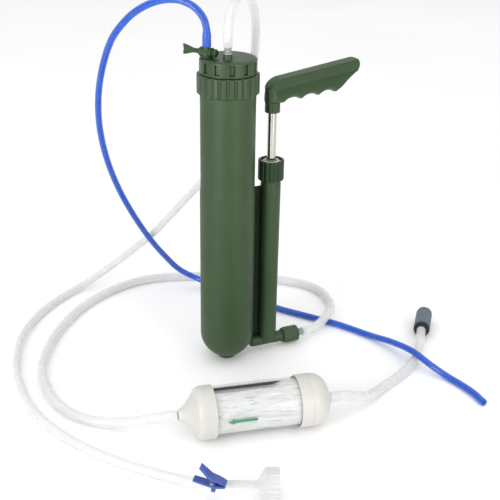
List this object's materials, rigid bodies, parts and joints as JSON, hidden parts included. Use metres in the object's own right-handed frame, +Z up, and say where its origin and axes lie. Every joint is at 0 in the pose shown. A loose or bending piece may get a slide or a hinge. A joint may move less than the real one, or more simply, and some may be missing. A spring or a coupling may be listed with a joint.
{
  "type": "pump water filter",
  "caption": "Hand-pumped camping water filter: upright filter vessel beside a pump barrel with a grip handle, hoses, clear pre-filter, foam strainer, flush tap and bottle adapter.",
  "frame": {"origin": "centre of the underside of the filter vessel's foot", "axes": "+Z up along the vessel, +X from the vessel to the pump barrel"},
  "size_m": [0.4302, 0.4285, 0.3491],
  "materials": {
    "green_shell": "moulded, semi-gloss dark green",
    "green_grip": "moulded, semi-gloss dark green",
    "white_plastic": "moulded white",
    "warm_white": "moulded warm white, slightly translucent",
    "grey_barb": "translucent grey",
    "chrome_rod": "polished",
    "steel": "plain",
    "black_rubber": "matt",
    "clear_plastic": "clear moulded tube",
    "white_fibre": "crinkled fibre",
    "carbon": "pressed activated carbon",
    "grey_sponge": "open-cell foam",
    "blue_plastic": "moulded blue",
    "clear_hose": "translucent flexible tube",
    "blue_hose": "translucent blue flexible tube"
  },
  "bodies": {
    "root": {"filter_housing": "green_shell", "neck_collar": "green_shell", "top_cap": "green_shell", "tap_body": "green_shell", "gland_nut": "green_shell", "pump_barrel": "green_shell", "inlet_nut": "green_shell", "carbon_core_tube": "white_plastic", "ultrafilter_shell": "white_plastic", "rod_bush": "white_plastic", "prefilter_outlet_screen": "white_plastic", "prefilter_inlet_screen": "white_plastic", "adapter_gasket": "white_plastic", "potting_disc": "warm_white", "prefilter_outlet_cap": "warm_white", "prefilter_inlet_cap": "warm_white", "bottle_adapter": "warm_white", "outlet_barb": "grey_barb", "inlet_barb": "grey_barb", "clip_pin": "steel", "cap_seal": "black_rubber", "cartridge_seal": "black_rubber", "rod_seal": "black_rubber", "inlet_gasket": "black_rubber", "strainer_head": "black_rubber", "prefilter_tube": "clear_plastic", "hollow_fibre_bundle": "white_fibre", "prefilter_media": "white_fibre", "carbon_block": "carbon", "lower_sponge": "grey_sponge", "upper_sponge": "grey_sponge", "strainer_foam": "grey_sponge", "clip_lower_arm": "blue_plastic", "inlet_hose": "clear_hose", "suction_hose": "clear_hose", "outlet_hose": "clear_hose", "flush_hose": "blue_hose"},
    "piston_ring_set": {"piston_seal_lower": "black_rubber", "piston_seal_upper": "black_rubber"},
    "plunger": {"piston_rod": "chrome_rod", "piston_screw": "steel", "pump_handle": "green_grip", "piston": "white_plastic"},
    "tap_turn": {"tap_rotor": "green_grip", "tap_retainer": "green_grip"},
    "clip_arm": {"clip_upper_arm": "blue_plastic"},
    "inlet_ball": {"inlet_check_ball": "steel"},
    "transfer_ball": {"transfer_check_ball": "steel"}
  },
  "joints": [
    {"name": "pump_stroke", "type": "slide", "parent": "root", "child": "piston_ring_set", "axis": [0, 0, 1], "range_m": [-0.0425, 0.098]},
    {"name": "handle_swivel", "type": "hinge", "parent": "piston_ring_set", "child": "plunger", "pos_m": [0.043, 0, 0.2], "axis": [0, 0, 1], "range_deg": [-120, 45]},
    {"name": "tap_turn", "type": "hinge", "parent": "root", "child": "tap_turn", "pos_m": [-0.0184, 0.0036, 0.2998], "axis": [0.5807, -0.8141, 0], "range_deg": [0, 90]},
    {"name": "clip_open", "type": "hinge", "parent": "root", "child": "clip_arm", "pos_m": [-0.0927, -0.2031, 0.02], "axis": [-0.5779, -0.8161, 0], "range_deg": [0, 22], "stiffness_Nm_per_rad": 0.05, "springref_deg": -17.19},
    {"name": "inlet_check", "type": "slide", "parent": "root", "child": "inlet_ball", "axis": [-1, 0, 0], "range_m": [0, 0.002]},
    {"name": "transfer_check", "type": "slide", "parent": "root", "child": "transfer_ball", "axis": [-1, 0, 0], "range_m": [0, 0.002]}
  ]
}
